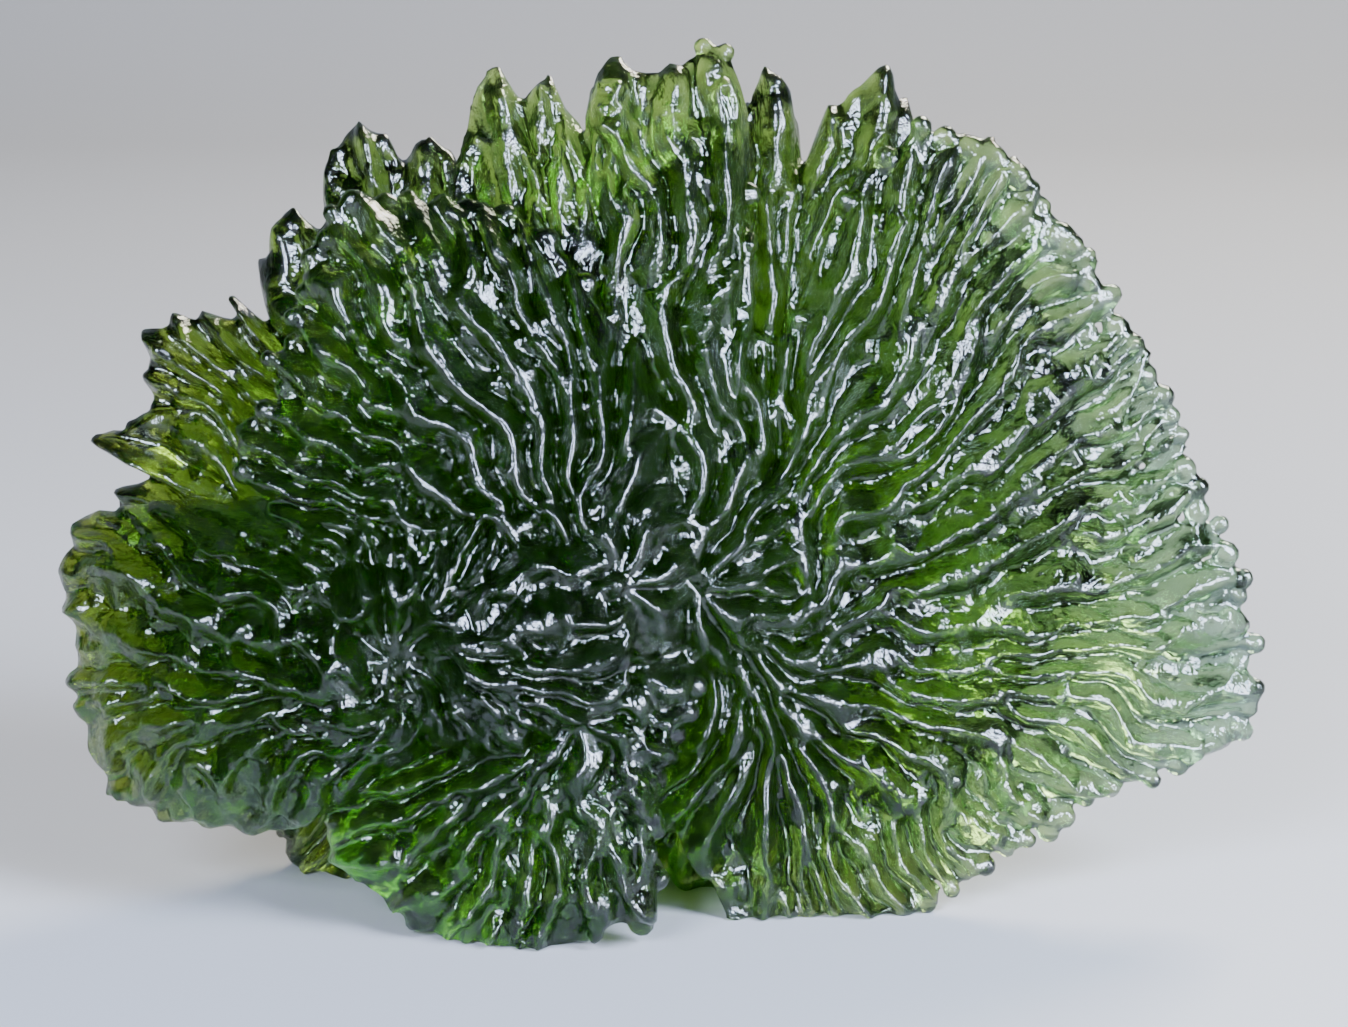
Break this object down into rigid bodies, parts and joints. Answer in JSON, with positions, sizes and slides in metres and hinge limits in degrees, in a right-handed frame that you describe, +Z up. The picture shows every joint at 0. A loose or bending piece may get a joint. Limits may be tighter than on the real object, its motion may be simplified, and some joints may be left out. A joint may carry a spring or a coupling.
{
  "type": "moldavite",
  "caption": "Natural green glass stone, a rosette of fused leaf-like plates with forked ridges and toothed rims, standing on its lower rim.",
  "frame": {"origin": "under the middle of the stone, on the surface it stands on", "axes": "+X to the stone's right as seen from its ridged front, +Y from the front to the back, +Z up"},
  "size_m": [0.0302, 0.0134, 0.0215],
  "materials": {
    "natural_green_glass": "etched natural glass, glossy on the ridges and frosted towards the thin rims, bottle green where thick and yellow-green where light comes through"
  },
  "bodies": {
    "root": {"moldavite": "natural_green_glass"}
  },
  "joints": []
}
